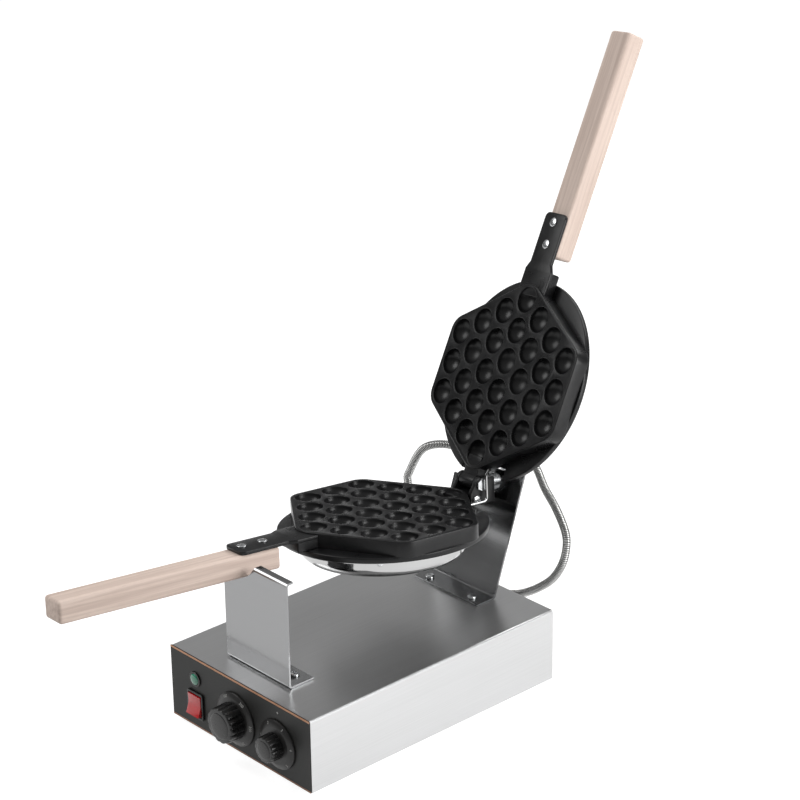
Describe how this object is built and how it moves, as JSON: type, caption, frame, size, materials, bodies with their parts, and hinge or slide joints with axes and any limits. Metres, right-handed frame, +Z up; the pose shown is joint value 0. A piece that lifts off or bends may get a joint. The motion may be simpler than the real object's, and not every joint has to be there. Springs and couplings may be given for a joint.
{
  "type": "bubble waffle maker",
  "caption": "Countertop bubble waffle maker: two hinged cast pans of round cells with wooden handles, swivelling on a cradle over a steel control box.",
  "frame": {"origin": "middle of the whole object seen from above, on the surface that the feet stand on, with the lid open", "axes": "+Z up, -Y towards the control panel and the lower handle, +X to the right as seen from the panel"},
  "size_m": [0.2526, 0.7494, 0.63],
  "materials": {
    "stainless": "brushed stainless sheet",
    "polished_steel": "polished stainless",
    "zinc_screw": "bright zinc-plated steel",
    "black_cast": "cast aluminium with a black non-stick coat",
    "black_plastic": "black moulded plastic",
    "panel_face": "black painted sheet",
    "pale_wood": "pale sanded beech",
    "rubber": "black rubber",
    "red_plastic": "red glossy plastic",
    "green_lens": "green glossy lens",
    "element_sheath": "heat-dulled steel sheath",
    "moulded_block": "pale moulded plastic"
  },
  "bodies": {
    "base": {"case_shell": "stainless", "bottom_plate": "stainless", "foot_front_left": "rubber", "foot_front_right": "rubber", "foot_rear_left": "rubber", "foot_rear_right": "rubber", "front_panel": "stainless", "faceplate": "panel_face", "rear_panel": "stainless", "indicator_lamp": "green_lens", "switch_housing": "black_plastic", "thermostat_body": "moulded_block", "timer_body": "moulded_block", "terminal_block": "moulded_block", "mains_inlet": "black_plastic", "cradle": "stainless", "rear_bracket": "stainless", "cradle_screw_left": "zinc_screw", "cradle_screw_right": "zinc_screw", "bracket_screw_left": "zinc_screw", "bracket_screw_right": "zinc_screw", "bracket_grommet": "rubber", "axle_bush": "zinc_screw", "upper_gland": "zinc_screw", "lower_gland": "zinc_screw", "upper_hose": "polished_steel", "lower_hose": "polished_steel"},
    "pan_set": {"lower_pan": "black_cast", "lower_element": "element_sheath", "lower_clamp": "zinc_screw", "lower_cover": "polished_steel", "lower_cover_screw_right": "zinc_screw", "lower_cover_screw_left": "zinc_screw", "lower_handle": "pale_wood", "lower_handle_bolt_inner": "zinc_screw", "lower_handle_bolt_outer": "zinc_screw", "lower_ferrule": "zinc_screw", "hinge_yoke": "black_cast", "yoke_bolt": "zinc_screw", "hinge_pin": "zinc_screw", "pin_nut": "zinc_screw", "swivel_axle": "zinc_screw", "thrust_washer": "zinc_screw", "axle_nut": "zinc_screw", "stop_rod": "polished_steel"},
    "lid": {"upper_pan": "black_cast", "upper_element": "element_sheath", "upper_clamp": "zinc_screw", "upper_cover": "polished_steel", "upper_cover_screw_right": "zinc_screw", "upper_cover_screw_left": "zinc_screw", "upper_handle": "pale_wood", "upper_handle_bolt_inner": "zinc_screw", "upper_handle_bolt_outer": "zinc_screw", "upper_ferrule": "zinc_screw"},
    "thermostat": {"thermostat_knob": "black_plastic", "thermostat_spindle": "zinc_screw"},
    "timer": {"timer_knob": "black_plastic", "timer_spindle": "zinc_screw"},
    "switch_rocker": {"rocker": "red_plastic"}
  },
  "joints": [
    {"name": "pan_flip", "type": "hinge", "parent": "base", "child": "pan_set", "pos_m": [0.0091, 0.003, 0.2034], "axis": [0.1234, 0.9907, -0.0576], "range_deg": [-10, 0], "deforming": ["lower_hose", "upper_hose"]},
    {"name": "lid_hinge", "type": "hinge", "parent": "pan_set", "child": "lid", "pos_m": [0.02228, 0.11511, 0.20305], "axis": [0.9854, -0.1155, 0.1251], "range_deg": [0, 115.3], "deforming": ["upper_hose"]},
    {"name": "thermostat_turn", "type": "hinge", "parent": "base", "child": "thermostat", "pos_m": [0.0143, -0.19882, 0.0425], "axis": [0, 1, 0], "range_deg": [0, 300]},
    {"name": "timer_turn", "type": "hinge", "parent": "base", "child": "timer", "pos_m": [0.0781, -0.19882, 0.0411], "axis": [0, 1, 0], "range_deg": [0, 270]},
    {"name": "switch_rock", "type": "hinge", "parent": "base", "child": "switch_rocker", "pos_m": [-0.0497, -0.19912, 0.0325], "axis": [1, 0, 0], "range_deg": [0, 16]}
  ]
}
